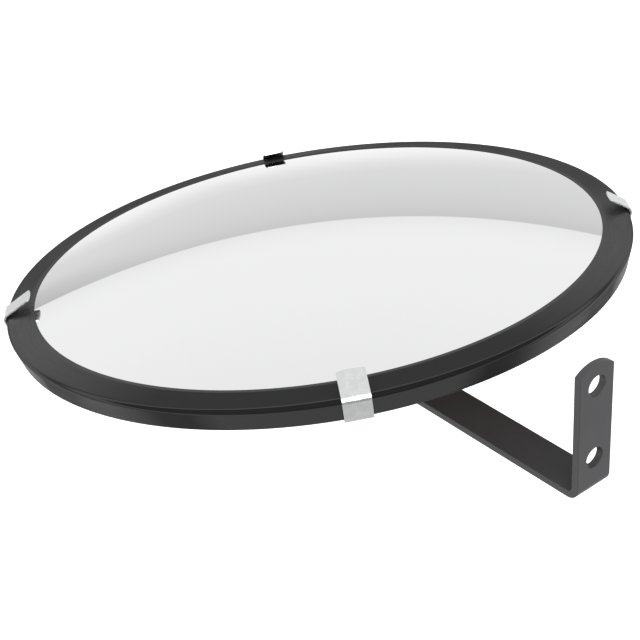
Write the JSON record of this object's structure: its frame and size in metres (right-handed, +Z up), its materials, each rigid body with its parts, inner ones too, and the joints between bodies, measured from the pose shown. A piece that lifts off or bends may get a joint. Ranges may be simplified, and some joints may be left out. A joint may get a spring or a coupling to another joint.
{
  "type": "convex security mirror",
  "caption": "Round convex security mirror with black edge trim and spring clips, on a swivelling, tilting L-shaped wall bracket with two screw holes.",
  "frame": {"origin": "on the wall plate's outer face, midway between its two screw holes", "axes": "-Y into the wall, +Y out along the arm, +Z up the wall plate, X level along the wall; mirror drawn face up as in the picture"},
  "size_m": [0.3044, 0.3322, 0.0778],
  "materials": {
    "mirror_face": "mirrored acrylic, polished",
    "hardboard": "pressed hardboard, plain",
    "black_rubber": "satin extruded rubber",
    "galvanised_strip": "galvanised, fine grain",
    "rivet_metal": "plain",
    "black_paint": "satin black powder coat",
    "white_nylon": "natural nylon",
    "zinc_plate": "bright zinc plate"
  },
  "bodies": {
    "bracket": {"wall_bracket": "black_paint", "pan_bolt": "zinc_plate", "pan_washer_upper": "white_nylon", "pan_washer_lower": "zinc_plate", "pan_lock_nut": "zinc_plate"},
    "swivel": {"swivel_fork": "galvanised_strip", "tilt_bolt": "zinc_plate", "tilt_washer_head": "zinc_plate", "tilt_washer_nut": "zinc_plate"},
    "mirror_head": {"mirror_dome": "mirror_face", "back_panel": "hardboard", "edge_trim": "black_rubber", "rim_clip_1": "galvanised_strip", "rim_clip_2": "galvanised_strip", "rim_clip_3": "galvanised_strip", "rim_clip_4": "galvanised_strip", "mirror_yoke": "galvanised_strip", "rivet_1": "rivet_metal", "rivet_2": "rivet_metal", "rivet_3": "rivet_metal", "rivet_4": "rivet_metal", "rivet_burr_1": "rivet_metal", "rivet_burr_2": "rivet_metal", "rivet_burr_3": "rivet_metal", "rivet_burr_4": "rivet_metal"},
    "nut_washer": {"tilt_lock_washer": "zinc_plate"},
    "wing_nut": {"wing_nut": "zinc_plate"}
  },
  "joints": [
    {"name": "pan_swivel", "type": "hinge", "parent": "bracket", "child": "swivel", "pos_m": [0, 0.178, -0.01775], "axis": [0, 0, 1], "range_deg": [-90, 90]},
    {"name": "head_tilt", "type": "hinge", "parent": "swivel", "child": "mirror_head", "pos_m": [0, 0.178, -0.01775], "axis": [-1, 0, 0], "range_deg": [-17, 97]},
    {"name": "nut_travel", "type": "slide", "parent": "swivel", "child": "nut_washer", "axis": [-1, 0, 0], "range_m": [0, 0.0016]},
    {"name": "wing_nut_turn", "type": "hinge", "parent": "nut_washer", "child": "wing_nut", "pos_m": [0, 0.178, -0.01775], "axis": [-1, 0, 0], "range_deg": [0, 720]}
  ],
  "couplings": [
    {"joint": "wing_nut_turn", "follows": "nut_travel", "rad_per_m": 7854}
  ]
}
